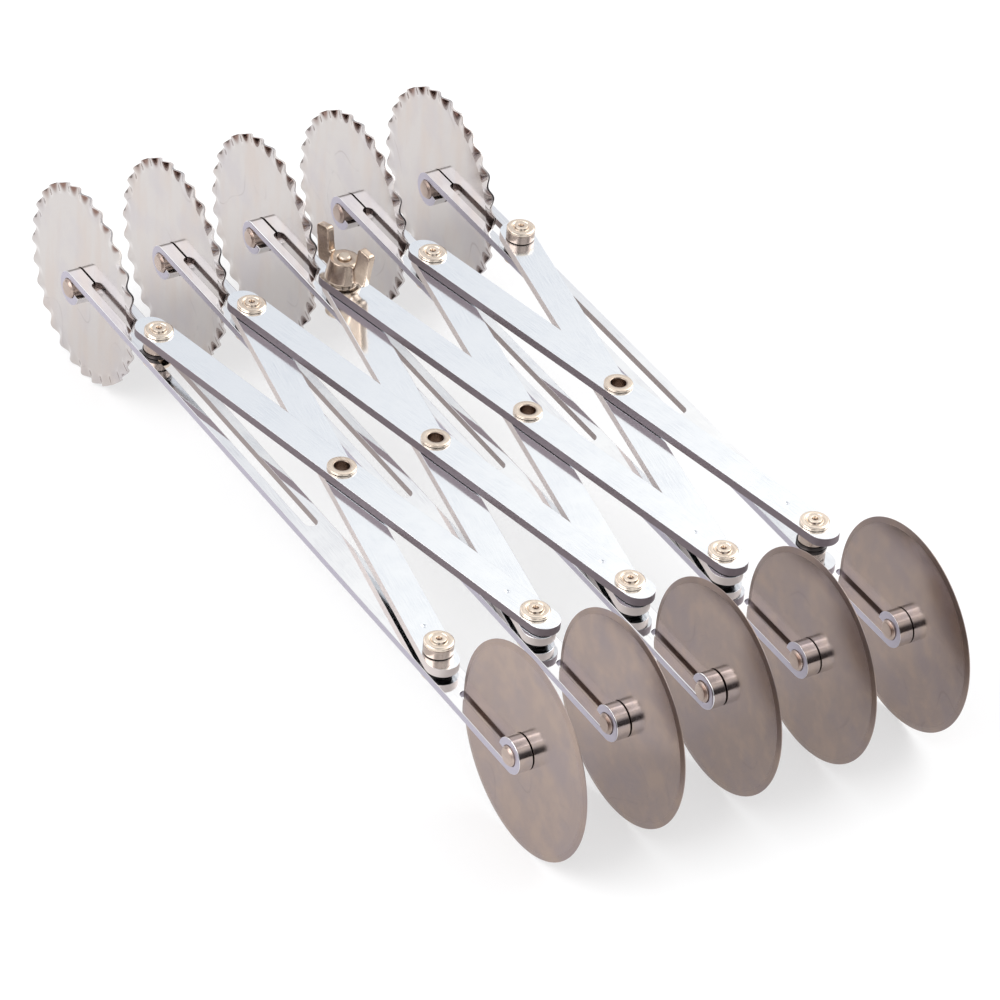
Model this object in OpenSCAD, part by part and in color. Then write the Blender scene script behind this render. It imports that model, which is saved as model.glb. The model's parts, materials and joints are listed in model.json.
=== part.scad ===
// Expandable dough cutter: five pairs of cutting wheels on a scissor lattice.
// Millimetres. The wheels stand on z = 0, +X is the way it opens, +Y is the fluted end.
// Every part is drawn in the lattice frame, where z = 0 is the middle of the carrier strips,
// and then stood on the wheels by place().

/* [Wheels] */
// Radius of every wheel
wheel_r = 27.5; // [25:0.5:29]
// Thickness of a plain wheel
plain_t = 0.8; // [0.5:0.1:1]
// Width of the bevel at the rim of a plain wheel
plain_bevel = 1.5; // [0.5:0.1:2]
// Sheet thickness of a fluted wheel
fluted_t = 0.7; // [0.5:0.1:0.8]
// Waves around a fluted rim
flutes = 28; // [20:1:32]
// Half height of a wave at the rim
flute_h = 0.6; // [0.4:0.05:0.9]
// Depth of the wavy band
flute_band = 3.4; // [2.6:0.1:5]

/* [Lattice] */
// Distance between the end pivots of a bar
bar_span = 143; // [125:1:172]
// Angle between a bar and the carriers as drawn
open_angle = 11; // [5:1:60]
// Largest angle the slot allows
widest_angle = 64; // [61:1:66]
// Bar width
bar_w = 8.6; // [7.6:0.1:9.2]
// Bar thickness
bar_t = 2.4; // [1.8:0.1:3]
// Distance of a bar's end from its end pivot
bar_end = 7.3; // [6:0.1:8]
// Distance of the pressed dimple from the pivot
dimple_at = 10; // [8:0.5:14]

/* [Carriers] */
// Strip width
strip_w = 8.8; // [8:0.1:9.2]
// Strip thickness
strip_t = 2; // [1.6:0.1:2.2]
// Distance of an axle from the base pivot
axle_reach = 40.1; // [38.1:0.5:46.1]
// Distance of the base pivot inside half a bar's span
base_in = 1.3; // [0:0.1:2.5]
// Distance between an axle and the end of a wide slot
slot_back = 6.2; // [5.8:0.1:9]
// Width of the slot beside a plain wheel
plain_slot_w = 2.7; // [2:0.1:3]
// Width of the slit through a rolled eye
slit_w = 1.2; // [1.1:0.1:1.6]
// Turn of a rolled eye
eye_turn = 262; // [230:1:265]

/* [Pins] */
// Radius of the pivot pins
pin_r = 1.7; // [1.6:0.05:1.9]
// Radius of the pivot heads
head_r = 3.8; // [3.4:0.1:4]
// Height of the pivot heads
head_h = 1.3; // [1:0.1:1.6]
// Outer radius of the eyelet tube
eyelet_r = 2.6; // [2.5:0.05:2.8]
// Radius of the eyelet bore
eyelet_bore = 2; // [1.8:0.05:2.1]
// Radius of the axle pins
axle_r = 2.65; // [2.4:0.05:2.8]
// Length an axle pin stands out of its eye
axle_proud = 0.8; // [0.3:0.1:1]
// Washer thickness
washer_t = 1; // [0.9:0.1:1.4]
// Washer radius
washer_r = 4; // [3.6:0.1:4.2]
// Radius of the spacer bushes
spacer_r = 3.8; // [3.4:0.1:4.1]

/* [Wing nut] */
// Reach of a wing from the screw
wing_reach = 10.5; // [9.5:0.5:11]
// Height of the nut
wing_h = 13.5; // [12:0.5:15]
// Wing thickness
wing_t = 2.2; // [1.6:0.1:2.8]
// Angle of the wings from the carrier
wing_angle = 12; // [0:1:90]

/* [Hidden] */
$fn = 64;
columns = 5;
run_gap = 0.05;
face_gap = 0.1;
bar_gap = 0.2;
slot_gap = 0.1;
slot_end_gap = 1.5;
rim_gap = 0.7;
roll_step = 0.03;
foot_h = 1;
flange_h = 0.7;
flange_r = 3.8;
edge_t = 0.2;
wave_steps = 6;
collar_h = 1;
hub_h = 7;
screw_end = 0.8;
base_y = bar_span / 2 - base_in;
axle_y = base_y + axle_reach;
eye_in = axle_r + run_gap;
eye_out = eye_in + strip_t;
eye_drop = eye_in + strip_t / 2 - roll_step;
eye_open = 360 - eye_turn;
tilt = atan(eye_drop / axle_y);
pitch = bar_span * sin(open_angle);
depth = bar_span * cos(open_angle);
tip_y = depth - base_y;
cross_y = depth / 2 - base_y;
slot_r = pin_r + slot_gap;
slot_low = bar_span * cos(widest_angle) - base_y - pin_r - slot_end_gap;
slot_high = axle_y - slot_back;
slit_start = axle_y - wheel_r - rim_gap;
web_r = wheel_r - flute_band;
z_washer = strip_t / 2 + face_gap;
z_lower = z_washer + washer_t + face_gap;
z_upper = z_lower + bar_t + bar_gap;
z_head = z_upper + bar_t + face_gap;
z_foot = -strip_t / 2 - face_gap - foot_h;

function column_x(i) = (i - (columns + 1) / 2) * pitch;

// Stands the lattice frame on the wheels: both rows of axles come to one height.
module place() translate([0, 0, wheel_r]) rotate([tilt, 0, 0]) children();

module at_column(i) place() translate([column_x(i), 0, 0]) children();
module at_base(i) at_column(i) translate([0, -base_y, 0]) children();
module at_tip(i) at_column(i) translate([0, tip_y, 0]) children();
module at_cross(i) at_column(i) translate([pitch / 2, cross_y, 0]) children();
module at_plain_axle(i) at_column(i) translate([0, -axle_y, eye_drop]) rotate([0, 90, 0]) children();
module at_fluted_axle(i) at_column(i) translate([0, axle_y, -eye_drop]) rotate([0, 90, 0]) children();

// The side view of a strip end rolled round an axle at the origin: the strip runs in from the
// left above the axle and wraps clockwise, and a wedge stays open under it.
module rolled_end() {
    far = 2 * eye_out;
    difference() {
        union() {
            circle(r = eye_out);
            translate([-axle_y, eye_drop - strip_t / 2]) square([axle_y, strip_t]);
        }
        circle(r = eye_in);
        polygon([
            [0, 0], [0, eye_drop - strip_t / 2], [-far, eye_drop - strip_t / 2],
            far * [cos(90 + eye_open), sin(90 + eye_open)]
        ]);
    }
}

// Half a strip: the middle lies at the origin and the rolled end towards +Y, below.
module half_strip() {
    translate([0, axle_y, -eye_drop]) rotate([90, 0, 90])
        linear_extrude(strip_w, center = true) rolled_end();
}

// A slot along Y with round ends, cut through the strip.
module slot_cut(width, from, to) {
    length = to - from - width;
    translate([0, (from + to) / 2, -strip_t]) linear_extrude(2 * strip_t) union() {
        square([width, length], center = true);
        for (side = [-1, 1]) translate([0, side * length / 2]) circle(d = width);
    }
}

// One strip: the tip pin slides in the long slot, and the slots and slits let the wheels through.
module carrier() {
    slit_end = axle_y + eye_out + 1;
    slit_tall = 4 * eye_out;
    difference() {
        union() {
            half_strip();
            rotate([180, 0, 0]) half_strip();
        }
        slot_cut(2 * slot_r, slot_low, slot_high);
        slot_cut(plain_slot_w, -slot_high, -slit_start);
        for (side = [0, 180])
            rotate([side, 0, 0]) translate([-slit_w / 2, slot_high - slot_r, -slit_tall / 2])
                cube([slit_w, slit_end - slot_high + slot_r, slit_tall]);
        translate([0, -base_y, 0]) cylinder(r = pin_r + run_gap, h = 2 * strip_t, center = true);
    }
}

module axle() {
    half = strip_w / 2 + axle_proud;
    chamfer = 0.6;
    rotate([0, 90, 0]) rotate_extrude() polygon([
        [0, -half], [axle_r - chamfer, -half], [axle_r, chamfer - half],
        [axle_r, half - chamfer], [axle_r - chamfer, half], [0, half]
    ]);
}

module axle_pair() {
    translate([0, axle_y, -eye_drop]) axle();
    translate([0, -axle_y, eye_drop]) axle();
}

module plain_wheel() {
    half = plain_t / 2;
    rotate_extrude($fn = 180) polygon([
        [axle_r + run_gap, -half], [wheel_r - plain_bevel, -half], [wheel_r, -edge_t / 2],
        [wheel_r, edge_t / 2], [wheel_r - plain_bevel, half], [axle_r + run_gap, half]
    ]);
}

// Pressed sheet: a flat web, and a wave that grows from the web to the rim.
module fluted_sheet() {
    steps = flutes * wave_steps;
    half = fluted_t / 2;
    rings = [[web_r, -half, 0], [wheel_r, -half, flute_h], [wheel_r, half, flute_h], [web_r, half, 0]];
    points = [
        for (ring = rings) for (i = [0:steps - 1])
            [
                ring[0] * cos(360 * i / steps), ring[0] * sin(360 * i / steps),
                ring[1] + ring[2] * sin(360 * i / wave_steps)
            ]
    ];
    // The triangles between ring k and the next one, wound to look outwards.
    function band(k) = [
        for (i = [0:steps - 1])
            let (a = k * steps, b = a + steps, j = (i + 1) % steps)
            each [[a + i, b + i, b + j], [a + i, b + j, a + j]]
    ];
    polyhedron(points = points, faces = concat(
        [[for (i = [0:steps - 1]) i]], band(0), band(1), band(2),
        [[for (i = [steps - 1:-1:0]) 3 * steps + i]]
    ));
}

module fluted_wheel() {
    difference() {
        fluted_sheet();
        cylinder(r = axle_r + run_gap, h = 4 * fluted_t, center = true);
    }
}

// Bar with three pivot holes and a dimple pressed in its top near the base end.
module bar() {
    dimple_r = 1.2;
    round_at = bar_span / 2 + bar_end - bar_w / 2;
    difference() {
        linear_extrude(bar_t) union() {
            square([bar_w, 2 * round_at], center = true);
            for (side = [-1, 1]) translate([0, side * round_at]) circle(d = bar_w);
        }
        for (side = [-1, 1])
            translate([0, side * bar_span / 2, -1]) cylinder(r = pin_r + run_gap, h = bar_t + 2);
        translate([0, 0, -1]) cylinder(r = eyelet_r + run_gap, h = bar_t + 2);
        translate([0, dimple_at - bar_span / 2, bar_t + 0.75 * dimple_r]) sphere(r = dimple_r);
    }
}

// Hollow rivet with a flange on both sides of the crossing bars.
module eyelet() {
    low = z_lower - face_gap;
    high = z_upper + bar_t + face_gap;
    lip = 0.35;
    rotate_extrude() polygon([
        [eyelet_bore, low - flange_h], [flange_r - lip, low - flange_h], [flange_r, low - lip],
        [flange_r, low], [eyelet_r, low], [eyelet_r, high], [flange_r, high],
        [flange_r, high + flange_h - lip], [flange_r - lip, high + flange_h],
        [eyelet_bore + lip, high + flange_h], [eyelet_bore, high + flange_h - lip]
    ]);
}

// Pivot rivet: stepped head above the bars, plain shank, flat foot under the carrier.
module rivet() {
    step = z_head + 0.7 * head_h;
    groove = z_head + 0.5 * head_h;
    top = z_head + head_h;
    rotate_extrude() polygon([
        [0, z_foot], [head_r, z_foot], [head_r, z_foot + foot_h], [pin_r, z_foot + foot_h],
        [pin_r, z_head], [head_r, z_head], [head_r, groove], [0.9 * head_r, step],
        [0.67 * head_r, step], [0.62 * head_r, groove], [0.54 * head_r, groove],
        [0.47 * head_r, top], [0.16 * head_r, top], [0.12 * head_r, groove], [0, groove]
    ]);
}

module ring(outer, height) {
    difference() {
        cylinder(r = outer, h = height);
        translate([0, 0, -1]) cylinder(r = pin_r + run_gap, h = height + 2);
    }
}

module washer() translate([0, 0, z_washer]) ring(washer_r, washer_t);

// Bush that stands in for the bar missing from an end pivot.
module spacer(level) translate([0, 0, level]) ring(spacer_r, bar_t);

// Screw with a flat head under the carrier; its round neck slides in the slot.
module clamp_screw_shape() {
    head = 1.6;
    low = -strip_t / 2 - face_gap;
    top = z_head + hub_h + screw_end;
    chamfer = 0.4;
    translate([0, 0, low - head]) cylinder(r = head_r + 0.3, h = head);
    rotate_extrude() polygon([
        [0, low], [pin_r, low], [pin_r, top - chamfer], [pin_r - chamfer, top], [0, top]
    ]);
}

// Side view of a wing: a blade with round corners that leans outwards, on a root out of the hub.
module wing_outline() {
    corner = 1;
    wing_w = 4.6;
    lean = 9;
    heel = 2.2;
    root = 2.5;
    foot = wing_reach - (wing_h - heel) * tan(lean);
    tall = (wing_h - heel - wing_w * sin(lean)) / cos(lean);
    translate([foot, heel]) rotate(-lean) translate([-wing_w, 0]) union() {
        translate([corner, 0]) square([wing_w - 2 * corner, tall]);
        translate([0, corner]) square([wing_w, tall - 2 * corner]);
        for (x = [corner, wing_w - corner])
            for (y = [corner, tall - corner])
                translate([x, y]) circle(r = corner);
    }
    polygon([
        [root, 1.4], [foot - 1.5, heel + 0.4], [foot - 1.5, hub_h - 0.4], [root, hub_h - 0.4]
    ]);
}

module wing_nut_shape() {
    collar_r = 3.3;
    hub_low = 5;
    hub_top = 3.9;
    translate([0, 0, z_head]) rotate(wing_angle) difference() {
        union() {
            cylinder(r = collar_r, h = collar_h);
            translate([0, 0, collar_h]) cylinder(r1 = hub_low, r2 = hub_top, h = hub_h - collar_h);
            for (side = [0, 180])
                rotate(side) rotate([90, 0, 90]) linear_extrude(wing_t, center = true) wing_outline();
        }
        translate([0, 0, -1]) cylinder(r = pin_r + run_gap, h = wing_h + 2);
    }
}

module carrier_1() color("silver") at_column(1) carrier();
module carrier_2() color("silver") at_column(2) carrier();
module carrier_3() color("silver") at_column(3) carrier();
module carrier_4() color("silver") at_column(4) carrier();
module carrier_5() color("silver") at_column(5) carrier();
module axle_pair_1() color("rosybrown") at_column(1) axle_pair();
module axle_pair_2() color("rosybrown") at_column(2) axle_pair();
module axle_pair_3() color("rosybrown") at_column(3) axle_pair();
module axle_pair_4() color("rosybrown") at_column(4) axle_pair();
module axle_pair_5() color("rosybrown") at_column(5) axle_pair();
module plain_wheel_1() color("dimgray") at_plain_axle(1) plain_wheel();
module plain_wheel_2() color("dimgray") at_plain_axle(2) plain_wheel();
module plain_wheel_3() color("dimgray") at_plain_axle(3) plain_wheel();
module plain_wheel_4() color("dimgray") at_plain_axle(4) plain_wheel();
module plain_wheel_5() color("dimgray") at_plain_axle(5) plain_wheel();
module fluted_wheel_1() color("lightgray") at_fluted_axle(1) fluted_wheel();
module fluted_wheel_2() color("lightgray") at_fluted_axle(2) fluted_wheel();
module fluted_wheel_3() color("lightgray") at_fluted_axle(3) fluted_wheel();
module fluted_wheel_4() color("lightgray") at_fluted_axle(4) fluted_wheel();
module fluted_wheel_5() color("lightgray") at_fluted_axle(5) fluted_wheel();
module upper_bar_1() color("aliceblue") at_cross(1) translate([0, 0, z_upper]) rotate(open_angle) bar();
module upper_bar_2() color("aliceblue") at_cross(2) translate([0, 0, z_upper]) rotate(open_angle) bar();
module upper_bar_3() color("aliceblue") at_cross(3) translate([0, 0, z_upper]) rotate(open_angle) bar();
module upper_bar_4() color("aliceblue") at_cross(4) translate([0, 0, z_upper]) rotate(open_angle) bar();
module lower_bar_1() color("lightsteelblue") at_cross(1) translate([0, 0, z_lower]) rotate(-open_angle) bar();
module lower_bar_2() color("lightsteelblue") at_cross(2) translate([0, 0, z_lower]) rotate(-open_angle) bar();
module lower_bar_3() color("lightsteelblue") at_cross(3) translate([0, 0, z_lower]) rotate(-open_angle) bar();
module lower_bar_4() color("lightsteelblue") at_cross(4) translate([0, 0, z_lower]) rotate(-open_angle) bar();
module eyelet_1() color("burlywood") at_cross(1) eyelet();
module eyelet_2() color("burlywood") at_cross(2) eyelet();
module eyelet_3() color("burlywood") at_cross(3) eyelet();
module eyelet_4() color("burlywood") at_cross(4) eyelet();
module base_rivet_1() color("tan") at_base(1) rivet();
module base_rivet_2() color("tan") at_base(2) rivet();
module base_rivet_3() color("tan") at_base(3) rivet();
module base_rivet_4() color("tan") at_base(4) rivet();
module base_rivet_5() color("tan") at_base(5) rivet();
module base_washer_1() color("gray") at_base(1) washer();
module base_washer_2() color("gray") at_base(2) washer();
module base_washer_3() color("gray") at_base(3) washer();
module base_washer_4() color("gray") at_base(4) washer();
module base_washer_5() color("gray") at_base(5) washer();
module tip_rivet_1() color("tan") at_tip(1) rivet();
module tip_rivet_2() color("tan") at_tip(2) rivet();
module tip_rivet_4() color("tan") at_tip(4) rivet();
module tip_rivet_5() color("tan") at_tip(5) rivet();
module tip_washer_1() color("gray") at_tip(1) washer();
module tip_washer_2() color("gray") at_tip(2) washer();
module tip_washer_3() color("gray") at_tip(3) washer();
module tip_washer_4() color("gray") at_tip(4) washer();
module tip_washer_5() color("gray") at_tip(5) washer();
module base_spacer_1() color("darkgray") at_base(1) spacer(z_upper);
module base_spacer_5() color("darkgray") at_base(5) spacer(z_lower);
module tip_spacer_1() color("darkgray") at_tip(1) spacer(z_lower);
module tip_spacer_5() color("darkgray") at_tip(5) spacer(z_upper);
module clamp_screw() color("slategray") at_tip(3) clamp_screw_shape();
module wing_nut() color("peru") at_tip(3) wing_nut_shape();

// The part that is drawn

carrier_1();
carrier_2();
carrier_3();
carrier_4();
carrier_5();
axle_pair_1();
axle_pair_2();
axle_pair_3();
axle_pair_4();
axle_pair_5();
plain_wheel_1();
plain_wheel_2();
plain_wheel_3();
plain_wheel_4();
plain_wheel_5();
fluted_wheel_1();
fluted_wheel_2();
fluted_wheel_3();
fluted_wheel_4();
fluted_wheel_5();
upper_bar_1();
upper_bar_2();
upper_bar_3();
upper_bar_4();
lower_bar_1();
lower_bar_2();
lower_bar_3();
lower_bar_4();
eyelet_1();
eyelet_2();
eyelet_3();
eyelet_4();
base_rivet_1();
base_rivet_2();
base_rivet_3();
base_rivet_4();
base_rivet_5();
base_washer_1();
base_washer_2();
base_washer_3();
base_washer_4();
base_washer_5();
tip_rivet_1();
tip_rivet_2();
tip_rivet_4();
tip_rivet_5();
tip_washer_1();
tip_washer_2();
tip_washer_3();
tip_washer_4();
tip_washer_5();
base_spacer_1();
base_spacer_5();
tip_spacer_1();
tip_spacer_5();
clamp_screw();
wing_nut();
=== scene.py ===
import json
import math

import bmesh
import bpy
from mathutils import Matrix, Vector

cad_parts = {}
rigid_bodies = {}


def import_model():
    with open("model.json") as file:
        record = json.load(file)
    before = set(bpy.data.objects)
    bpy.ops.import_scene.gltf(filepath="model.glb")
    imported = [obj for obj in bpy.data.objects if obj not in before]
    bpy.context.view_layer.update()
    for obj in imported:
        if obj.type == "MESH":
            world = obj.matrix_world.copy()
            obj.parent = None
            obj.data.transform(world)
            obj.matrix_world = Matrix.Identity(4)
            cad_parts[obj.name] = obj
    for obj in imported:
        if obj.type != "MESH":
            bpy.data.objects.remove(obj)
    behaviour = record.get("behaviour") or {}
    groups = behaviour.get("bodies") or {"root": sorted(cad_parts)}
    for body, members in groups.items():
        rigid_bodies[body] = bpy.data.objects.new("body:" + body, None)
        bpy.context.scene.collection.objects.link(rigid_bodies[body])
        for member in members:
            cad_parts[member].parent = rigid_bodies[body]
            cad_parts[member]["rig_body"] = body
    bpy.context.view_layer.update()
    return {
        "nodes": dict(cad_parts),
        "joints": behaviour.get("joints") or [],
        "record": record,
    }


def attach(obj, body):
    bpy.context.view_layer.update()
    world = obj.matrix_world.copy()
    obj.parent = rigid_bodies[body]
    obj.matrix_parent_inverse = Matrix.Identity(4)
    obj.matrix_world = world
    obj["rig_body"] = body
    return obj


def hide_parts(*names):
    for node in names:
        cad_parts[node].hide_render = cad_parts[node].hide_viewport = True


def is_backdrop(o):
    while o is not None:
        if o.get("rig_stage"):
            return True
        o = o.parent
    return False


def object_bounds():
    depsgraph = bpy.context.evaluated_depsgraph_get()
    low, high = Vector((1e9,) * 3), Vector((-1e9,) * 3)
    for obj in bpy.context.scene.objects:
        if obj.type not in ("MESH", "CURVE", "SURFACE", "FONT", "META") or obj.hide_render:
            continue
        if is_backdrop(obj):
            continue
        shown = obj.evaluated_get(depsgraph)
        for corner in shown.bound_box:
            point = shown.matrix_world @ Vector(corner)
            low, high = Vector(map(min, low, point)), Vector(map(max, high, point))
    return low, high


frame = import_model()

# Carriers: five flat strips of plated steel, one for each pair of wheels. Each has a long slot
# for the tip pivot, a slit at both ends that straddles a wheel, and an eye rolled round each axle.
# The blanked edges are tumbled round before they are plated bright.
mm = 0.001
strip_corner = 0.6 * mm
slot_corner_share = 0.4
slot_reach = 2.3 * mm
slot_fade = 0.4 * mm
slot_start = 28.2 * mm
# Distances from the slot's start at the plain end over which the painted slot shade fades out
slot_shade_near = 1.2 * mm
slot_shade_far = 3 * mm
eye_reach = 5.2 * mm
eye_fade = 0.5 * mm
strip_wall_rough = 0.28
scratch_depth = 0.05 * mm
hairline_scale = (5200, 110, 5200)
weld_reach = 0.0005 * mm
side_reach = 0.01 * mm
same_plane = math.radians(0.3)
sharp_corner = math.radians(38)
# How far a face leans with the lattice, from 0 to 1, where it is still a wall and where it is a flat
wall_lean = 0.3
flat_lean = 0.75
nodes = frame["nodes"]
joints = {joint["name"]: joint for joint in frame["joints"]}
up = Vector(joints["expand"]["axis"])
columns = range(1, 6)


def srgb(red, green, blue):
    """A colour as it looks on screen, 0 to 255, in the linear values that shaders take."""
    def linear(part):
        share = part / 255
        return share / 12.92 if share <= 0.04045 else ((share + 0.055) / 1.055) ** 2.4
    return linear(red), linear(green), linear(blue), 1.0


def add(tree, kind, inputs=None, **options):
    """A new node in a shader or geometry tree, with its sockets set or linked."""
    made = tree.nodes.new(kind)
    for key, value in options.items():
        setattr(made, key, value)
    for key, value in (inputs or {}).items():
        if isinstance(value, bpy.types.NodeSocket):
            tree.links.new(value, made.inputs[key])
        else:
            made.inputs[key].default_value = value
    return made


def group_ends(tree, inputs, outputs):
    """The sockets of a node group, and its two end nodes."""
    for label, kind in inputs:
        tree.interface.new_socket(label, in_out="INPUT", socket_type="NodeSocket" + kind)
    for label, kind in outputs:
        tree.interface.new_socket(label, in_out="OUTPUT", socket_type="NodeSocket" + kind)
    return tree.nodes.new("NodeGroupInput"), tree.nodes.new("NodeGroupOutput")


def blend_colours(tree, share, first, second):
    """The colour between two, by a share from 0 to 1."""
    mixed = add(tree, "ShaderNodeMix", {0: share, 6: first, 7: second}, data_type="RGBA")
    return mixed.outputs[2]


def remap(tree, value, low, high, to_low=0, to_high=1):
    """A value carried from one span to another, and held at its ends."""
    spans = {"Value": value, "From Min": low, "From Max": high, "To Min": to_low, "To Max": to_high}
    return add(tree, "ShaderNodeMapRange", spans).outputs[0]


def calc(tree, operation, *values):
    """The result of a math node."""
    return add(tree, "ShaderNodeMath", dict(enumerate(values)), operation=operation).outputs[0]


def vector_calc(tree, operation, *values):
    """The result of a vector math node, which is a number for lengths and dot products."""
    made = add(tree, "ShaderNodeVectorMath", dict(enumerate(values)), operation=operation)
    return made.outputs["Value" if operation in ("LENGTH", "DOT_PRODUCT") else "Vector"]


def apart(tree, value, middle):
    """How far a value is from a fixed one, either way."""
    return calc(tree, "ABSOLUTE", calc(tree, "SUBTRACT", value, middle))


def wear_group():
    """Shader group for worked metal: clouded colour, uneven polish and hairline scratches along Y."""
    tree = bpy.data.node_groups.new("worked metal", "ShaderNodeTree")
    start, end = group_ends(
        tree,
        [("Vector", "Vector"), ("Bright", "Color"), ("Dull", "Color"),
         ("Smooth", "Float"), ("Rough", "Float")],
        [("Color", "Color"), ("Roughness", "Float"), ("Height", "Float")])
    clouds = add(tree, "ShaderNodeTexNoise",
                 {"Vector": start.outputs["Vector"], "Scale": 90, "Detail": 5, "Roughness": 0.62})
    drawn_out = vector_calc(tree, "MULTIPLY", start.outputs["Vector"], hairline_scale)
    hairlines = add(tree, "ShaderNodeTexNoise", {"Vector": drawn_out, "Scale": 1, "Detail": 3})
    cloudy = remap(tree, clouds.outputs[0], 0.35, 0.68)
    lined = remap(tree, hairlines.outputs[0], 0.3, 0.72)
    dulled = calc(tree, "MULTIPLY", cloudy, lined)
    tint = blend_colours(tree, dulled, start.outputs["Bright"], start.outputs["Dull"])
    polish = remap(tree, clouds.outputs[0], 0.3, 0.7, start.outputs["Smooth"], start.outputs["Rough"])
    tree.links.new(tint, end.inputs["Color"])
    tree.links.new(polish, end.inputs["Roughness"])
    tree.links.new(hairlines.outputs[0], end.inputs["Height"])
    return tree


worked_metal = wear_group()


def new_finish(name):
    """A new material, its node tree and its main shader."""
    finish = bpy.data.materials.new(name)
    finish.use_nodes = True
    return finish, finish.node_tree, finish.node_tree.nodes["Principled BSDF"]


def link_metal(tree, shader, colour, polish, height, scratch):
    """Joins a metal's colour, roughness and scratches to its shader."""
    bump = add(tree, "ShaderNodeBump", {"Height": height, "Strength": scratch, "Distance": scratch_depth})
    shader.inputs["Metallic"].default_value = 1.0
    tree.links.new(colour, shader.inputs["Base Color"])
    tree.links.new(polish, shader.inputs["Roughness"])
    tree.links.new(bump.outputs[0], shader.inputs["Normal"])


def metal(name, bright, dull, smooth, rough, turn=0.0, scratch=0.02):
    """A metal finish, and its shader, wear and object-coordinate nodes for what is added to it."""
    finish, tree, shader = new_finish(name)
    place = add(tree, "ShaderNodeTexCoord")
    turned = add(tree, "ShaderNodeMapping", {"Vector": place.outputs["Object"], "Rotation": (0, 0, turn)})
    wear = add(tree, "ShaderNodeGroup",
               {"Vector": turned.outputs[0], "Bright": bright, "Dull": dull,
                "Smooth": smooth, "Rough": rough},
               node_tree=worked_metal)
    link_metal(tree, shader, wear.outputs["Color"], wear.outputs["Roughness"],
               wear.outputs["Height"], scratch)
    return finish, shader, wear, place


def link_object(name, mesh):
    """A new object in the scene that shows this mesh."""
    piece = bpy.data.objects.new(name, mesh)
    bpy.context.scene.collection.objects.link(piece)
    return piece


def settle(piece):
    """Works the piece's modifiers into its mesh, with flat faces shaded flat and corners smooth."""
    even = piece.modifiers.new("Even shading", "WEIGHTED_NORMAL")
    even.keep_sharp = True
    graph = bpy.context.evaluated_depsgraph_get()
    mesh = bpy.data.meshes.new_from_object(piece.evaluated_get(graph))
    piece.modifiers.clear()
    piece.data = mesh


def rounded_copy(name, node, corner, inner_share=1.0):
    """A solid as one closed mesh with its sharp corners rounded, less so away from its sides in X."""
    solid = nodes[node].data
    points = [point.co for point in solid.vertices]
    faces = [face.vertices[:] for face in solid.polygons]
    mesh = bpy.data.meshes.new(name)
    mesh.from_pydata(points, [], faces)
    work = bmesh.new()
    work.from_mesh(mesh)
    bmesh.ops.remove_doubles(work, verts=work.verts, dist=weld_reach)
    bmesh.ops.dissolve_limit(work, angle_limit=same_plane, verts=work.verts, edges=work.edges)
    sides = [reach(point.co.x for point in work.verts) for reach in (min, max)]
    share = work.edges.layers.float.new("bevel_weight_edge")
    for edge in work.edges:
        if edge.calc_face_angle(0.0) > sharp_corner:
            ends = [point.co.x for point in edge.verts]
            on_side = any(all(abs(x - side) < side_reach for x in ends) for side in sides)
            edge[share] = 1.0 if on_side else inner_share
    work.to_mesh(mesh)
    work.free()
    mesh.shade_smooth()
    piece = link_object(name, mesh)
    bevel = piece.modifiers.new("Rounded corners", "BEVEL")
    bevel.width = corner
    bevel.segments = 3
    bevel.limit_method = "WEIGHT"
    bevel.use_clamp_overlap = True
    settle(piece)
    return piece


def stand_for(piece, node, finish):
    """Gives the piece its finish and puts it in a solid's place, on the same body."""
    piece.data.materials.clear()
    piece.data.materials.append(finish)
    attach(piece, nodes[node]["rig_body"])
    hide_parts(node)


def flatness(tree, place):
    """A share that is 1 on faces that lie with the lattice and 0 on the walls between them."""
    facing = vector_calc(tree, "DOT_PRODUCT", place.outputs["Normal"], tuple(up))
    return remap(tree, calc(tree, "ABSOLUTE", facing), wall_lean, flat_lean)


def wall_metal(finish, shader, wear, flat, wall, wall_rough):
    """Makes the walls of a plated piece rougher than its faces (where flat is 1), with a greyer colour
    painted on them as reflection and shade.
    """
    tree = finish.node_tree
    tree.links.new(blend_colours(tree, flat, wall, wear.outputs["Color"]), shader.inputs["Base Color"])
    polish = add(tree, "ShaderNodeMix", {0: flat, 2: wall_rough, 3: wear.outputs["Roughness"]})
    tree.links.new(polish.outputs[0], shader.inputs["Roughness"])


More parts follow.
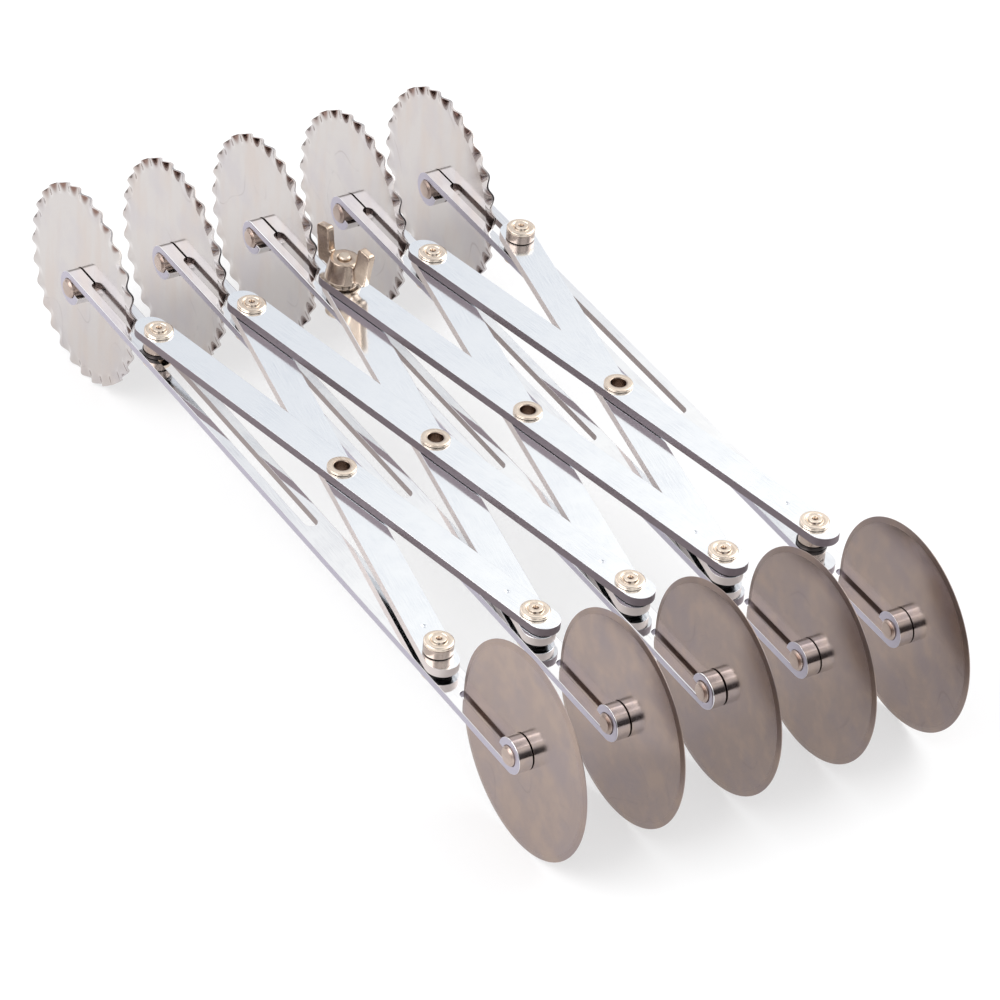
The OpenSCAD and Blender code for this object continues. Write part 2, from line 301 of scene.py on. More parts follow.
def strip_finish():
    """Bright plating, also round the eyes, with walls painted greyer as reflection and shade, and a darker
    painted shade inside the slots and slits.
    """
    finish, shader, wear, place = metal(
        "bright plated strip", srgb(248, 248, 248), srgb(224, 224, 228), 0.03, 0.08)
    tree = finish.node_tree
    plain_end, fluted_end = (joints[f"{kind}_wheel_1_spin"]["pos_m"][1] for kind in ("plain", "fluted"))
    spacing = joints["plain_wheel_2_spin"]["pos_m"][0] - joints["plain_wheel_1_spin"]["pos_m"][0]
    at = add(tree, "ShaderNodeSeparateXYZ", {0: place.outputs["Object"]})
    aside = calc(tree, "ABSOLUTE", calc(tree, "WRAP", at.outputs["X"], spacing / 2, -spacing / 2))
    in_slot = remap(tree, aside, slot_reach, slot_reach + slot_fade, 1, 0)
    from_start = apart(tree, at.outputs["Y"], plain_end + slot_start)
    slot_shade_fade = remap(tree, from_start, slot_shade_near, slot_shade_far, 0.1, 1)
    # Painted shade inside the slots and slits, weaker near the slot's start
    slot_shade = calc(tree, "MULTIPLY", in_slot, slot_shade_fade)
    # Painted wall colour: a lilac-grey painted reflection on the walls, going to a darker brown painted shade
    # inside the slots and slits
    wall = blend_colours(tree, slot_shade, srgb(182, 177, 190), srgb(152, 140, 138))
    from_middle = apart(tree, at.outputs["Y"], (plain_end + fluted_end) / 2)
    eye_start = (fluted_end - plain_end) / 2 - eye_reach
    in_eye = remap(tree, from_middle, eye_start, eye_start + eye_fade)
    facing = add(tree, "ShaderNodeSeparateXYZ", {0: place.outputs["Normal"]})
    sideways = calc(tree, "ABSOLUTE", facing.outputs["X"])
    rolled = calc(tree, "MULTIPLY", in_eye, remap(tree, sideways, wall_lean, flat_lean, 1, 0))
    flat = calc(tree, "MAXIMUM", flatness(tree, place), rolled)
    wall_metal(finish, shader, wear, flat, wall, strip_wall_rough)
    return finish


bright_strip = strip_finish()
for i in columns:
    strip = rounded_copy(f"carrier_{i}_strip", f"carrier_{i}", strip_corner, slot_corner_share)
    stand_for(strip, f"carrier_{i}", bright_strip)

# Axle pins: ten turned steel pins, one through each rolled eye, standing a little out of it at both
# ends. The ends are faced flat and their edges broken with a chamfer.
pin_radius = 2.65 * mm
pin_half = 5.2 * mm
pin_chamfer = 0.6 * mm
pin_ease = 0.12 * mm
most_of_edge = 0.45
smooth_turn = math.radians(40)


def turned_tree():
    """Geometry nodes that spin an outline about Z, note each radius and press waves in the rim."""
    tree = bpy.data.node_groups.new("turned piece", "GeometryNodeTree")
    start, end = group_ends(
        tree,
        [("Outline", "Geometry"), ("Segments", "Int"), ("Waves", "Int"), ("Wave Height", "Float"),
         ("Wave Start", "Float"), ("Wave End", "Float"), ("Finish", "Material")],
        [("Turned", "Geometry")])
    tree.is_modifier = True
    segments = start.outputs["Segments"]
    size = add(tree, "GeometryNodeAttributeDomainSize", {"Geometry": start.outputs["Outline"]})
    count = size.outputs["Point Count"]
    around = calc(tree, "ADD", segments, 1)
    grid = add(tree, "GeometryNodeMeshGrid", {"Vertices X": around, "Vertices Y": count})
    index = add(tree, "GeometryNodeInputIndex").outputs[0]
    spoke = calc(tree, "FLOOR", calc(tree, "DIVIDE", index, count))
    point = calc(tree, "MODULO", index, count)
    position = add(tree, "GeometryNodeInputPosition").outputs[0]
    sample = add(tree, "GeometryNodeSampleIndex",
                 {"Geometry": start.outputs["Outline"], "Value": position, "Index": point},
                 data_type="FLOAT_VECTOR")
    outline = add(tree, "ShaderNodeSeparateXYZ", {0: sample.outputs[0]})
    radius = outline.outputs["X"]
    angle = calc(tree, "MULTIPLY", calc(tree, "DIVIDE", spoke, segments), math.tau)
    swing = calc(tree, "SINE", calc(tree, "MULTIPLY", angle, start.outputs["Waves"]))
    share = remap(tree, radius, start.outputs["Wave Start"], start.outputs["Wave End"],
                  0, start.outputs["Wave Height"])
    lift = calc(tree, "MULTIPLY_ADD", swing, share, outline.outputs["Z"])
    across = calc(tree, "MULTIPLY", calc(tree, "COSINE", angle), radius)
    along = calc(tree, "MULTIPLY", calc(tree, "SINE", angle), radius)
    spun = add(tree, "ShaderNodeCombineXYZ", {0: across, 1: along, 2: lift})
    noted = add(tree, "GeometryNodeStoreNamedAttribute",
                {"Geometry": grid.outputs["Mesh"], "Name": "spin radius", "Value": radius})
    shaped = add(tree, "GeometryNodeSetPosition",
                 {"Geometry": noted.outputs[0], "Position": spun.outputs[0]})
    closed = add(tree, "GeometryNodeMergeByDistance",
                 {"Geometry": shaped.outputs[0], "Distance": weld_reach})
    real = add(tree, "GeometryNodeRealizeInstances", {"Geometry": closed.outputs[0]})
    done = add(tree, "GeometryNodeSetMaterial",
               {"Geometry": real.outputs[0], "Material": start.outputs["Finish"]})
    tree.links.new(done.outputs[0], end.inputs["Turned"])
    return tree


turning = turned_tree()


def eased(outline, radius, steps=4):
    """An outline with its corners rounded by a radius; its first and last points stay."""
    points = [Vector(point) for point in outline]
    result = [points[0]]
    for before, corner, after in zip(points, points[1:], points[2:]):
        arm_in = before - corner
        arm_out = after - corner
        cut = min(radius, most_of_edge * arm_in.length, most_of_edge * arm_out.length)
        first = corner + arm_in.normalized() * cut
        last = corner + arm_out.normalized() * cut
        for k in range(steps + 1):
            t = k / steps
            result.append(first.lerp(corner, t).lerp(corner.lerp(last, t), t))
    return result + [points[-1]]


def turned_mesh(name, outline, finish, segments=64, waves=0, wave_height=0.0, wave_start=0.0, wave_end=1.0):
    """A mesh spun about Z from an outline of (radius, height) points."""
    mesh = bpy.data.meshes.new(name)
    points = [(radius, 0, height) for radius, height in outline]
    mesh.from_pydata(points, [(k, k + 1) for k in range(len(points) - 1)], [])
    piece = link_object(name, mesh)
    spin = piece.modifiers.new("Turned", "NODES")
    spin.node_group = turning
    values = {"Segments": segments, "Waves": waves, "Wave Height": wave_height, "Wave Start": wave_start,
              "Wave End": wave_end, "Finish": finish}
    for socket in turning.interface.items_tree:
        if socket.name in values:
            spin[socket.identifier] = values[socket.name]
    graph = bpy.context.evaluated_depsgraph_get()
    spun = bpy.data.meshes.new_from_object(piece.evaluated_get(graph))
    bpy.data.objects.remove(piece)
    spun.shade_smooth()
    spun.set_sharp_from_angle(angle=smooth_turn)
    return spun


def placed(name, mesh, places):
    """One piece made of a mesh set down at each place."""
    work = bmesh.new()
    for place in places:
        copy = mesh.copy()
        copy.transform(place)
        work.from_mesh(copy)
    whole = bpy.data.meshes.new(name)
    work.to_mesh(whole)
    work.free()
    piece = link_object(name, whole)
    settle(piece)
    return piece


def axle_place(kind, i):
    """The place of a wheel's axle, with its own Z along the axle."""
    centre = Vector(joints[f"{kind}_wheel_{i}_spin"]["pos_m"])
    return Matrix.Translation(centre) @ Matrix.Rotation(math.pi / 2, 4, "Y")


pin_outline = eased([
    (0, -pin_half), (pin_radius - pin_chamfer, -pin_half), (pin_radius, pin_chamfer - pin_half),
    (pin_radius, pin_half - pin_chamfer), (pin_radius - pin_chamfer, pin_half), (0, pin_half)], pin_ease)
pin_steel, *_ = metal("turned pin steel", srgb(196, 178, 168), srgb(150, 134, 126), 0.24, 0.4)
pin_mesh = turned_mesh("axle pin", pin_outline, pin_steel, segments=72)
for i in columns:
    pins = placed(f"axle_pair_{i}_pins", pin_mesh, [axle_place("plain", i), axle_place("fluted", i)])
    stand_for(pins, f"axle_pair_{i}", pin_steel)

# Plain cutting wheels: five discs of ground steel sheet, free on their pins, with the rim bevelled
# from both sides to a blunt edge. The faces are satin, with faint rings left by the grinding.
wheel_radius = 27.5 * mm
bore_radius = 2.7 * mm
plain_half = 0.4 * mm
plain_bevel = 1.5 * mm
plain_edge = 0.1 * mm
plain_ease = 0.08 * mm
mid_face = 12 * mm
bevel_fade = 0.1 * mm
bevel_rough = 0.38
# Where along X the painted shade on the plain wheels starts and is full, and how strong it is
shade_start_x = -26 * mm
shade_full_x = -2 * mm
shade_share = 0.08
ring_scratch = 0.03
across_axle = (0, 1, 1)


def ring_group():
    """Shader group for a face ground on a spindle along X: rings, clouds, stains and hairline marks."""
    tree = bpy.data.node_groups.new("spindle ground", "ShaderNodeTree")
    start, end = group_ends(
        tree, [("Vector", "Vector"), ("Stretch", "Vector")],
        [("Rings", "Float"), ("Clouds", "Float"), ("Stains", "Float"), ("Marks", "Float")])
    place = start.outputs["Vector"]
    radius = vector_calc(tree, "LENGTH", vector_calc(tree, "MULTIPLY", place, across_axle))
    rings = add(tree, "ShaderNodeTexNoise", {"W": radius, "Scale": 2600, "Detail": 4}, noise_dimensions="1D")
    clouds = add(tree, "ShaderNodeTexNoise", {"Vector": place, "Scale": 75, "Detail": 4, "Roughness": 0.55})
    drawn = vector_calc(tree, "MULTIPLY", place, start.outputs["Stretch"])
    stains = add(tree, "ShaderNodeTexNoise", {"Vector": drawn, "Scale": 170, "Detail": 5})
    veins = add(tree, "ShaderNodeTexNoise", {"Vector": place, "Scale": 38, "Detail": 1})
    line = remap(tree, apart(tree, veins.outputs[0], 0.5), 0.001, 0.005, 1, 0)
    patchy = remap(tree, clouds.outputs[0], 0.48, 0.6)
    tree.links.new(calc(tree, "MULTIPLY", line, patchy), end.inputs["Marks"])
    tree.links.new(rings.outputs[0], end.inputs["Rings"])
    tree.links.new(clouds.outputs[0], end.inputs["Clouds"])
    tree.links.new(stains.outputs[0], end.inputs["Stains"])
    return tree


spindle_ground = ring_group()


def wheel_steel(name, axle, tints, stretch, smooth, rough):
    """Satin sheet steel ground about an axle; tints are the main, warm, cool and mark colours."""
    finish, tree, shader = new_finish(name)
    place = add(tree, "ShaderNodeTexCoord")
    centred = add(tree, "ShaderNodeMapping",
                  {"Vector": place.outputs["Object"], "Location": (0, -axle.y, -axle.z)})
    ground = add(tree, "ShaderNodeGroup", {"Vector": centred.outputs[0], "Stretch": stretch},
                 node_tree=spindle_ground)
    colour, warm, cool, mark = tints
    layers = [("Stains", 0.44, 0.64, 0.7, warm), ("Clouds", 0.46, 0.65, 0.7, cool),
              ("Rings", 0.35, 0.75, 0.25, warm), ("Marks", 0, 1, 0.3, mark)]
    for pattern, low, high, strength, tint in layers:
        share = remap(tree, ground.outputs[pattern], low, high, 0, strength)
        colour = blend_colours(tree, share, colour, tint)
    polish = remap(tree, ground.outputs["Clouds"], 0.3, 0.7, smooth, rough)
    link_metal(tree, shader, colour, polish, ground.outputs["Rings"], ring_scratch)
    return finish


def spoke_of(tree, place, axle):
    """The way from an axle to a point of its wheel, in the wheel's plane."""
    from_axle = vector_calc(tree, "SUBTRACT", place.outputs["Object"], tuple(axle))
    return vector_calc(tree, "MULTIPLY", from_axle, across_axle)


def roughen_and_shade_plain(finish, axle):
    """Roughens the ground bevel at the rim, and paints shade on the wheels, darker the further along X they
    stand.
    """
    tree = finish.node_tree
    shader = tree.nodes["Principled BSDF"]
    tint = shader.inputs["Base Color"].links[0].from_socket
    polish = shader.inputs["Roughness"].links[0].from_socket
    place = add(tree, "ShaderNodeTexCoord")
    radius = vector_calc(tree, "LENGTH", spoke_of(tree, place, axle))
    bevel_start = wheel_radius - plain_bevel
    edge = remap(tree, radius, bevel_start - bevel_fade, bevel_start + bevel_fade)
    rough = add(tree, "ShaderNodeMix", {0: edge, 2: polish, 3: bevel_rough})
    tree.links.new(rough.outputs[0], shader.inputs["Roughness"])
    aside = add(tree, "ShaderNodeSeparateXYZ", {0: place.outputs["Object"]})
    # Painted shade: the wheels further along X are darkened towards brown-black
    right_shade = remap(tree, aside.outputs["X"], shade_start_x, shade_full_x, 0, shade_share)
    tree.links.new(blend_colours(tree, right_shade, tint, srgb(30, 24, 18)), shader.inputs["Base Color"])


plain_outline = eased([
    (mid_face, -plain_half), (wheel_radius - plain_bevel, -plain_half), (wheel_radius, -plain_edge),
    (wheel_radius, plain_edge), (wheel_radius - plain_bevel, plain_half), (bore_radius, plain_half),
    (bore_radius, -plain_half), (mid_face, -plain_half)], plain_ease)
plain_axle = Vector(joints["plain_wheel_3_spin"]["pos_m"])
plain_tints = (srgb(158, 142, 136), srgb(171, 152, 140), srgb(149, 137, 139), srgb(130, 115, 108))
plain_steel = wheel_steel("plain wheel steel", plain_axle, plain_tints, (1, 1, 1), 0.13, 0.2)
roughen_and_shade_plain(plain_steel, plain_axle)
plain_mesh = turned_mesh("plain wheel", plain_outline, plain_steel, segments=192)
for i in columns:
    disc = placed(f"plain_wheel_{i}_disc", plain_mesh, [axle_place("plain", i)])
    stand_for(disc, f"plain_wheel_{i}", plain_steel)

# Fluted cutting wheels: five discs of thinner sheet whose rim is pressed into even waves, so that
# they cut a wavy edge. They are brighter than the plain ones, with painted shade on one side of each wave.
fluted_half = 0.35 * mm
wave_band = 3.4 * mm
wave_height = 0.6 * mm
wave_count = 28
wave_steps = 16
band_rings = 14
wave_start = wheel_radius - wave_band
rim_corner = 0.12 * mm
wave_shade_side = (0, -0.75, 0.66)


def fluted_outline():
    """The sheet's section: flat from the bore to the wavy band, and a blunt rounded edge."""
    band = [wave_start + wave_band * k / band_rings for k in range(band_rings)]
    lower = [(radius, -fluted_half) for radius in [mid_face] + band]
    upper = [(radius, fluted_half) for radius in reversed(band)]
    edge = eased([lower[-1], (wheel_radius, -fluted_half), (wheel_radius, fluted_half), upper[0]], rim_corner)
    bore = [(bore_radius, fluted_half), (bore_radius, -fluted_half), (mid_face, -fluted_half)]
    return lower + edge[1:-1] + upper + bore


def shade_waves(finish, axle):
    """Paints shade on one side of each wave, most of all on the part of the rim towards -Y and up."""
    tree = finish.node_tree
    shader = tree.nodes["Principled BSDF"]
    clean = shader.inputs["Base Color"].links[0].from_socket
    place = add(tree, "ShaderNodeTexCoord")
    spoke = vector_calc(tree, "NORMALIZE", spoke_of(tree, place, axle))
    around = vector_calc(tree, "CROSS_PRODUCT", (1, 0, 0), spoke)
    facing_round = vector_calc(tree, "DOT_PRODUCT", place.outputs["Normal"], around)
    part = remap(tree, vector_calc(tree, "DOT_PRODUCT", spoke, wave_shade_side), -0.5, 0.1, 0.1, 1)
    share = remap(tree, facing_round, 0.12, 0.4, 0, part)
    # Painted shade and reflection: one side of each wave is darkened towards brown
    tree.links.new(blend_colours(tree, share, clean, srgb(136, 110, 101)), shader.inputs["Base Color"])


fluted_axle = Vector(joints["fluted_wheel_3_spin"]["pos_m"])
fluted_tints = (srgb(200, 195, 193), srgb(199, 188, 182), srgb(192, 187, 190), srgb(152, 140, 134))
fluted_steel = wheel_steel("fluted wheel steel", fluted_axle, fluted_tints, (1, 1, 0.22), 0.08, 0.16)
shade_waves(fluted_steel, fluted_axle)
fluted_mesh = turned_mesh(
    "fluted wheel", fluted_outline(), fluted_steel, segments=wave_count * wave_steps, waves=wave_count,
    wave_height=wave_height, wave_start=wave_start, wave_end=wheel_radius)
for i in columns:
    disc = placed(f"fluted_wheel_{i}_disc", fluted_mesh, [axle_place("fluted", i)])
    stand_for(disc, f"fluted_wheel_{i}", fluted_steel)

# Washers: ten steel rings, one round each pivot pin, coloured near-black as painted shade under the
# stacks of bars. They lie between the carriers and the bars and stand the bars off, so that the lower
# flanges of the eyelets clear the carriers.
strip_top = 1.0 * mm
close_gap = 0.1 * mm
washer_outer = 4.0 * mm
washer_thick = 1.0 * mm
washer_ease = 0.15 * mm
washer_low = strip_top + close_gap
washer_high = washer_low + washer_thick
pivot_bore = 1.75 * mm
tilt = math.atan2(-up.y, up.z)
lattice = Matrix.Translation((0, 0, plain_axle.z)) @ Matrix.Rotation(tilt, 4, "X")


def in_plan(point):
    """A point of the record as it lies in the lattice's own plane."""
    flat = lattice.inverted() @ Vector(point)
    return Vector((flat.x, flat.y, 0))


base_joints = ["carrier_1_turn", "carrier_2_turn", "expand", "carrier_4_turn", "carrier_5_turn"]
bores = {mount["name"]: mount for mount in frame["record"]["mounts"]}
bases = {i: in_plan(joints[name]["pos_m"]) for i, name in zip(columns, base_joints)}
crossings = {i: in_plan(bores[f"eyelet_bore_{i}"]["pos_m"]) for i in columns[:-1]}
tips = {i + 1: 2 * crossings[i] - bases[i] for i in crossings}
tips[1] = 2 * crossings[1] - bases[2]


def pivot_place(centre):
    """The place of a pivot, with its own Z square to the lattice."""
    return lattice @ Matrix.Translation(centre)


def ring_outline(inner, outer, low, high, corner):
    """The section of a flat ring with broken edges, from the middle of its lower face."""
    middle = ((inner + outer) / 2, low)
    return eased([middle, (outer, low), (outer, high), (inner, high), (inner, low), middle], corner)


# Near-black colour: dark steel, with painted shade for the dark under the bar stacks
dark_steel_and_shade, *_ = metal("dark washer steel", srgb(70, 65, 64), srgb(44, 41, 41), 0.26, 0.42)
washer_mesh = turned_mesh(
    "washer", ring_outline(pivot_bore, washer_outer, washer_low, washer_high, washer_ease), dark_steel_and_shade)
for end, centres in (("base", bases), ("tip", tips)):
    for i in columns:
        washer = placed(f"{end}_washer_{i}_ring", washer_mesh, [pivot_place(centres[i])])
        stand_for(washer, f"{end}_washer_{i}", dark_steel_and_shade)

# Bars: eight plated flat bars that cross in pairs, four above four, each with a hole at both ends
# and in the middle. The flats are polished and the sheared edges are rougher, with painted reflection
# and shade on them, a mid grey on the upper four and a pale grey on the lower four. A locating
# dimple is pressed near the base end.
bar_corner = 0.48 * mm
bar_thick = 2.4 * mm
bar_wall_rough = 0.65
lower_bar_low = washer_high + close_gap
upper_bar_low = lower_bar_low + bar_thick + 2 * close_gap
bars_top = upper_bar_low + bar_thick
lean = math.atan2(crossings[1].x - bases[1].x, crossings[1].y - bases[1].y)


def bar_finish(name, turn, wall):
    """Bright plating on the flats that gives way to rougher metal round the sheared edges, whose colour is
    painted reflection and shade.
    """
    finish, shader, wear, place = metal(name, srgb(246, 248, 250), srgb(228, 232, 238), 0.1, 0.17, turn)
    wall_metal(finish, shader, wear, flatness(finish.node_tree, place), wall, bar_wall_rough)
    return finish


# One plating for both levels; the two wall greys are painted reflection and shade
bar_finishes = {"upper": bar_finish("plated upper bar", -lean, srgb(140, 130, 135)),
                "lower": bar_finish("plated lower bar", lean, srgb(220, 212, 209))}
for level, finish in bar_finishes.items():
    for i in columns[:-1]:
        bar = rounded_copy(f"{level}_bar_{i}_plate", f"{level}_bar_{i}", bar_corner)
        stand_for(bar, f"{level}_bar_{i}", finish)

# Spacer bushes: four short nickel rings that fill the place of the bar that the first and last
# pivots don't have. The rivets hold them.
bush_outer = 3.8 * mm
bush_ease = 0.2 * mm
bush_nickel, *_ = metal("bush nickel", srgb(182, 166, 156), srgb(132, 119, 113), 0.2, 0.34)
bushes = [("base_spacer_1", bases[1], upper_bar_low), ("base_spacer_5", bases[5], lower_bar_low),
          ("tip_spacer_1", tips[1], lower_bar_low), ("tip_spacer_5", tips[5], upper_bar_low)]
for node, centre, low in bushes:
    section = ring_outline(pivot_bore, bush_outer, low, low + bar_thick, bush_ease)
    bush = placed(f"{node}_bush", turned_mesh(node + " ring", section, bush_nickel), [pivot_place(centre)])
    stand_for(bush, node, bush_nickel)

# Eyelets: four hollow nickel rivets that hold the bars together where they cross. The tube's ends
# are spun over into rounded flanges, and it stays open right through.
eyelet_bore = 2.0 * mm
eyelet_tube = 2.6 * mm
eyelet_flange = 3.8 * mm
flange_thick = 0.7 * mm
flange_ease = 0.34 * mm
bore_reach = 2.6 * mm
# Where the painted shade round a rivet's axis reaches full strength, as a share of its reach, and that
# strength
recess_shade_core = 0.7
recess_shade_strength = 0.9
eyelet_low = lower_bar_low - close_gap
eyelet_high = bars_top + close_gap
mid_wall = (eyelet_low + eyelet_high) / 2
eyelet_outline = eased([
    (eyelet_tube, mid_wall), (eyelet_tube, eyelet_high), (eyelet_flange, eyelet_high),
    (eyelet_flange, eyelet_high + flange_thick), (eyelet_bore, eyelet_high + flange_thick),
    (eyelet_bore, eyelet_low - flange_thick), (eyelet_flange, eyelet_low - flange_thick),
    (eyelet_flange, eyelet_low), (eyelet_tube, eyelet_low), (eyelet_tube, mid_wall)], flange_ease)


def rivet_finish(name, recess_shade_reach):
    """Warm bright nickel, with brown painted shade in the hollow round the axis."""
    finish, shader, wear, _ = metal(name, srgb(234, 219, 203), srgb(192, 173, 156), 0.16, 0.28)
    tree = finish.node_tree
    from_axis = add(tree, "ShaderNodeAttribute", attribute_name="spin radius")
    # Painted shade: darker brown near the axis, in the eyelets' bore and the rivets' punched centre
    recess_shade = remap(tree, from_axis.outputs["Fac"], recess_shade_core * recess_shade_reach, recess_shade_reach, recess_shade_strength, 0)
    recess_shaded = blend_colours(tree, recess_shade, wear.outputs["Color"], srgb(92, 64, 54))
    tree.links.new(recess_shaded, shader.inputs["Base Color"])
    return finish


eyelet_nickel = rivet_finish("eyelet nickel", bore_reach)
eyelet_mesh = turned_mesh("eyelet", eyelet_outline, eyelet_nickel, segments=72)
for i in columns[:-1]:
    eyelet = placed(f"eyelet_{i}_tube", eyelet_mesh, [pivot_place(crossings[i])])
    stand_for(eyelet, f"eyelet_{i}", eyelet_nickel)

# Pivot rivets: nine solid nickel rivets through the ends of the bars. The head has a flange, a
# groove and a raised boss with a punched centre, and the foot is headed flat under the carrier.
pin_shank = 1.7 * mm
head_radius = 3.8 * mm
head_low = bars_top + close_gap
groove_floor = head_low + 0.65 * mm
flange_top = head_low + 0.91 * mm
head_top = head_low + 1.3 * mm
foot_thick = 1.0 * mm
foot_top = -strip_top - close_gap
foot_low = foot_top - foot_thick
rivet_ease = 0.1 * mm
punch_reach = 0.75 * mm
rivet_outline = eased([
    (0, foot_low), (head_radius, foot_low), (head_radius, foot_top), (pin_shank, foot_top),
    (pin_shank, head_low), (head_radius, head_low), (head_radius, groove_floor),
    (0.9 * head_radius, flange_top), (0.67 * head_radius, flange_top),
    (0.62 * head_radius, groove_floor), (0.54 * head_radius, groove_floor),
    (0.47 * head_radius, head_top), (0.21 * head_radius, head_top),
    (0.16 * head_radius, groove_floor), (0, groove_floor)], rivet_ease)
rivet_nickel = rivet_finish("rivet nickel", punch_reach)
rivet_mesh = turned_mesh("rivet", rivet_outline, rivet_nickel, segments=72)
riveted = [("base", i, bases[i]) for i in columns] + [("tip", i, tips[i]) for i in columns if i != 3]
for end, i, centre in riveted:
    rivet = placed(f"{end}_rivet_{i}_turned", rivet_mesh, [pivot_place(centre)])
    stand_for(rivet, f"{end}_rivet_{i}", rivet_nickel)

# Clamp screw: a steel screw up through the slot of the middle carrier and the two bars above it,
# with a flat head underneath. It takes the place of the third tip rivet.
screw_head_radius = 4.1 * mm
screw_head_thick = 1.6 * mm
screw_head_top = foot_top
screw_head_low = screw_head_top - screw_head_thick
screw_stand = 7.8 * mm
screw_top = head_low + screw_stand
screw_chamfer = 0.4 * mm
screw_ease = 0.12 * mm
screw_outline = eased([
    (0, screw_head_low), (screw_head_radius, screw_head_low), (screw_head_radius, screw_head_top),
    (pin_shank, screw_head_top), (pin_shank, screw_top - screw_chamfer),
    (pin_shank - screw_chamfer, screw_top), (0, screw_top)], screw_ease)
screw_steel, *_ = metal("screw steel", srgb(214, 200, 184), srgb(168, 152, 138), 0.24, 0.4)
screw_mesh = turned_mesh("clamp screw", screw_outline, screw_steel)
screw = placed("clamp_screw_turned", screw_mesh, [pivot_place(tips[3])])
stand_for(screw, "clamp_screw", screw_steel)

# Wing nut: one nickel-plated casting on the clamp screw, a tapered hub on a collar with two ears
# that stand up from it. The cast corners are soft and run into each other.
cast_corner = 0.35 * mm
cast_voxel = 0.22 * mm
cast_nickel, *_ = metal("cast nickel", srgb(204, 186, 169), srgb(146, 128, 114), 0.12, 0.26, scratch=0.01)
nut = rounded_copy("wing_nut_casting", "wing_nut", cast_corner)
blended = nut.modifiers.new("Cast skin", "REMESH")
blended.mode = "VOXEL"
blended.voxel_size = cast_voxel
softened = nut.modifiers.new("Soft corners", "SMOOTH")
softened.factor = 0.5
softened.iterations = 8
settle(nut)
nut.data.shade_smooth()
stand_for(nut, "wing_nut", cast_nickel)

# Floor: a plain pale sheet under the wheels, wide enough to fill the view. It glows a little, so that
# it stays nearly white round the soft shadow.
floor_half = 3.0
floor_glow = 0.52
floor_mesh = bpy.data.meshes.new("floor")
corners = [(-floor_half, -floor_half, 0), (floor_half, -floor_half, 0), (floor_half, floor_half, 0),
           (-floor_half, floor_half, 0)]
floor_mesh.from_pydata(corners, [], [(0, 1, 2, 3)])
floor = link_object("floor", floor_mesh)
floor_paint, paint_tree, paint = new_finish("pale floor")
grain = add(paint_tree, "ShaderNodeTexNoise", {"Scale": 40, "Detail": 2})
grained = blend_colours(paint_tree, grain.outputs[0], srgb(180, 180, 180), srgb(184, 184, 184))
paint_tree.links.new(grained, paint.inputs["Base Color"])
paint.inputs["Roughness"].default_value = 0.9
paint.inputs["Specular IOR Level"].default_value = 0.0
paint.inputs["Emission Color"].default_value = (1, 1, 1, 1)
paint.inputs["Emission Strength"].default_value = floor_glow
floor_mesh.materials.append(floor_paint)
floor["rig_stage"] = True

# Studio: a wide soft box on each side, a small box behind the fluted wheels, and a pale room with a
# grey ceiling and two dark panels in its front wall, so that the plating has something to show.
scene = bpy.context.scene
scene.view_settings.view_transform = "Standard"


def soft_box(name, power, width, height, aim, direction, distance, tint=(1, 1, 1)):
    """An area light that looks at a point from a direction."""
    lamp = bpy.data.lights.new(name, "AREA")
    lamp.color = tint
    lamp.shape = "RECTANGLE"
    lamp.size = width
    lamp.size_y = height
    lamp.energy = power
    box = bpy.data.objects.new(name, lamp)
    scene.collection.objects.link(box)
    away = Vector(direction).normalized()
    box.location = Vector(aim) + away * distance
    box.rotation_mode = "QUATERNION"
    box.rotation_quaternion = away.to_track_quat("Z", "Y")


for name, power, side in (("left box", 7.0, -1), ("right box", 5.2, 1)):
    soft_box(name, power, width=1.1, height=0.8, aim=(0, 0, 0),
             direction=(0.75 * side, 0, 0.66), distance=1.2)
soft_box("back box", power=0.075, width=0.3, height=0.26, aim=(0.03, 0.13, 0.03),
         direction=(-0.454, 0.674, 0.583), distance=0.6, tint=(0.93, 0.97, 1))
world = bpy.data.worlds.new("pale room")
world.use_nodes = True
scene.world = world
room = world.node_tree
direction = add(room, "ShaderNodeTexCoord")
toward = add(room, "ShaderNodeSeparateXYZ", {0: direction.outputs["Generated"]})
height = toward.outputs["Z"]
back_slant = 0.6
slant = calc(room, "MULTIPLY_ADD", toward.outputs["X"], back_slant, height)
back_bands = [(0.0, (0.5, 0.48, 0.47, 1)), (0.2, (1.15, 1.13, 1.15, 1)), (0.55, (1.2, 1.18, 1.2, 1)),
              (0.72, (0.62, 0.64, 0.68, 1)), (0.87, (0.81, 0.83, 0.87, 1)), (0.9, (1.01, 1.02, 1.03, 1)),
              (0.93, (1.22, 1.21, 1.19, 1)), (1.0, (1.35, 1.35, 1.33, 1))]
front_bands = [(0.0, (0.5, 0.48, 0.48, 1)), (0.2, (0.62, 0.62, 0.64, 1)), (0.5, (0.85, 0.86, 0.88, 1)),
               (0.7, (1.35, 1.35, 1.33, 1))]
panel_bands = [(0.0, (0.3, 0.28, 0.28, 1)), (0.06, (0.03, 0.028, 0.03, 1)), (0.42, (0.06, 0.055, 0.06, 1)),
               (0.56, (0.6, 0.6, 0.62, 1)), (0.7, (1.35, 1.35, 1.33, 1))]
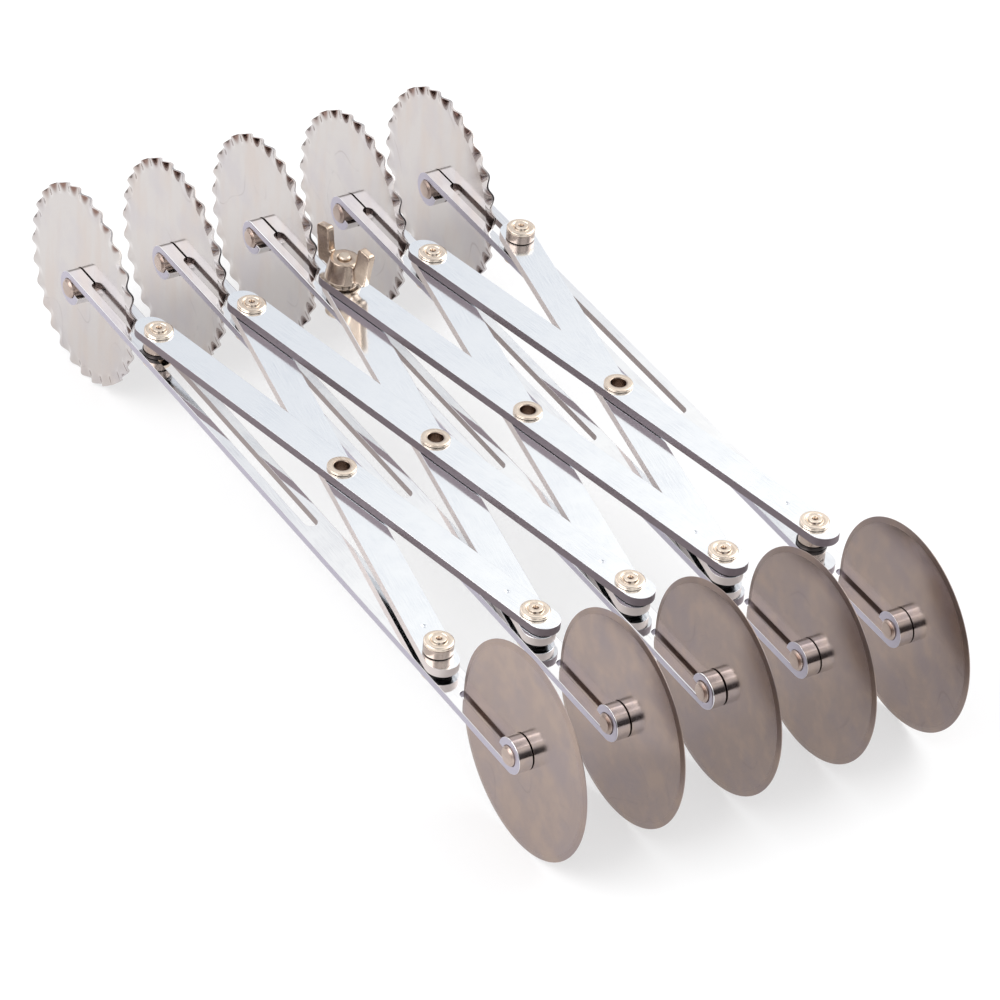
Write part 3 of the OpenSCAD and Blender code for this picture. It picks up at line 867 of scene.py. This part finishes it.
panel_aside = 0.455
panel_reach = 0.1
panel_end = 0.16


def room_wall(bands, height):
    """The colours of one side of the room, from the horizon up."""
    wall = add(room, "ShaderNodeValToRGB", {"Fac": height})
    ramp = wall.color_ramp
    while len(ramp.elements) < len(bands):
        ramp.elements.new(1.0)
    for stop, (at, colour) in zip(ramp.elements, bands):
        stop.position = at
        stop.color = colour
    return wall.outputs[0]


aside = calc(room, "ABSOLUTE", toward.outputs["X"])
in_panel = remap(room, apart(room, aside, panel_aside), panel_reach, panel_end, 1, 0)
front = blend_colours(room, in_panel, room_wall(front_bands, height), room_wall(panel_bands, height))
to_front = remap(room, toward.outputs["Y"], -0.2, -0.55)
walls = blend_colours(room, to_front, room_wall(back_bands, slant), front)
to_ceiling = remap(room, height, 0.84, 0.94)
surroundings = blend_colours(room, to_ceiling, walls, (0.6, 0.62, 0.66, 1))
background = room.nodes["Background"]
room.links.new(surroundings, background.inputs["Color"])
background.inputs["Strength"].default_value = 1.0

# Camera: a long lens from the front left and above, at the angle of the reference view and rolled a
# little, as the reference is.
view_azimuth = math.radians(-33.96)
view_elevation = math.radians(35.65)
view_roll = math.radians(4.33)
view_distance = 1450 * mm
view_aside = 6.84 * mm
view_above = 9.24 * mm
view_lens = 203.8
away = Vector((math.sin(view_azimuth) * math.cos(view_elevation),
               -math.cos(view_azimuth) * math.cos(view_elevation), math.sin(view_elevation)))
level_right = Vector((math.cos(view_azimuth), math.sin(view_azimuth), 0))
level_up = away.cross(level_right)
right = level_right * math.cos(view_roll) + level_up * math.sin(view_roll)
above = level_up * math.cos(view_roll) - level_right * math.sin(view_roll)
lens = bpy.data.cameras.new("camera")
lens.sensor_width = 36
lens.lens = view_lens
lens.clip_start = 0.05
camera = bpy.data.objects.new("camera", lens)
scene.collection.objects.link(camera)
turn = Matrix((right, above, away)).transposed().to_4x4()
stand = right * view_aside + above * view_above + away * view_distance
camera.matrix_world = Matrix.Translation(stand) @ turn
scene.camera = camera

low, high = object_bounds()
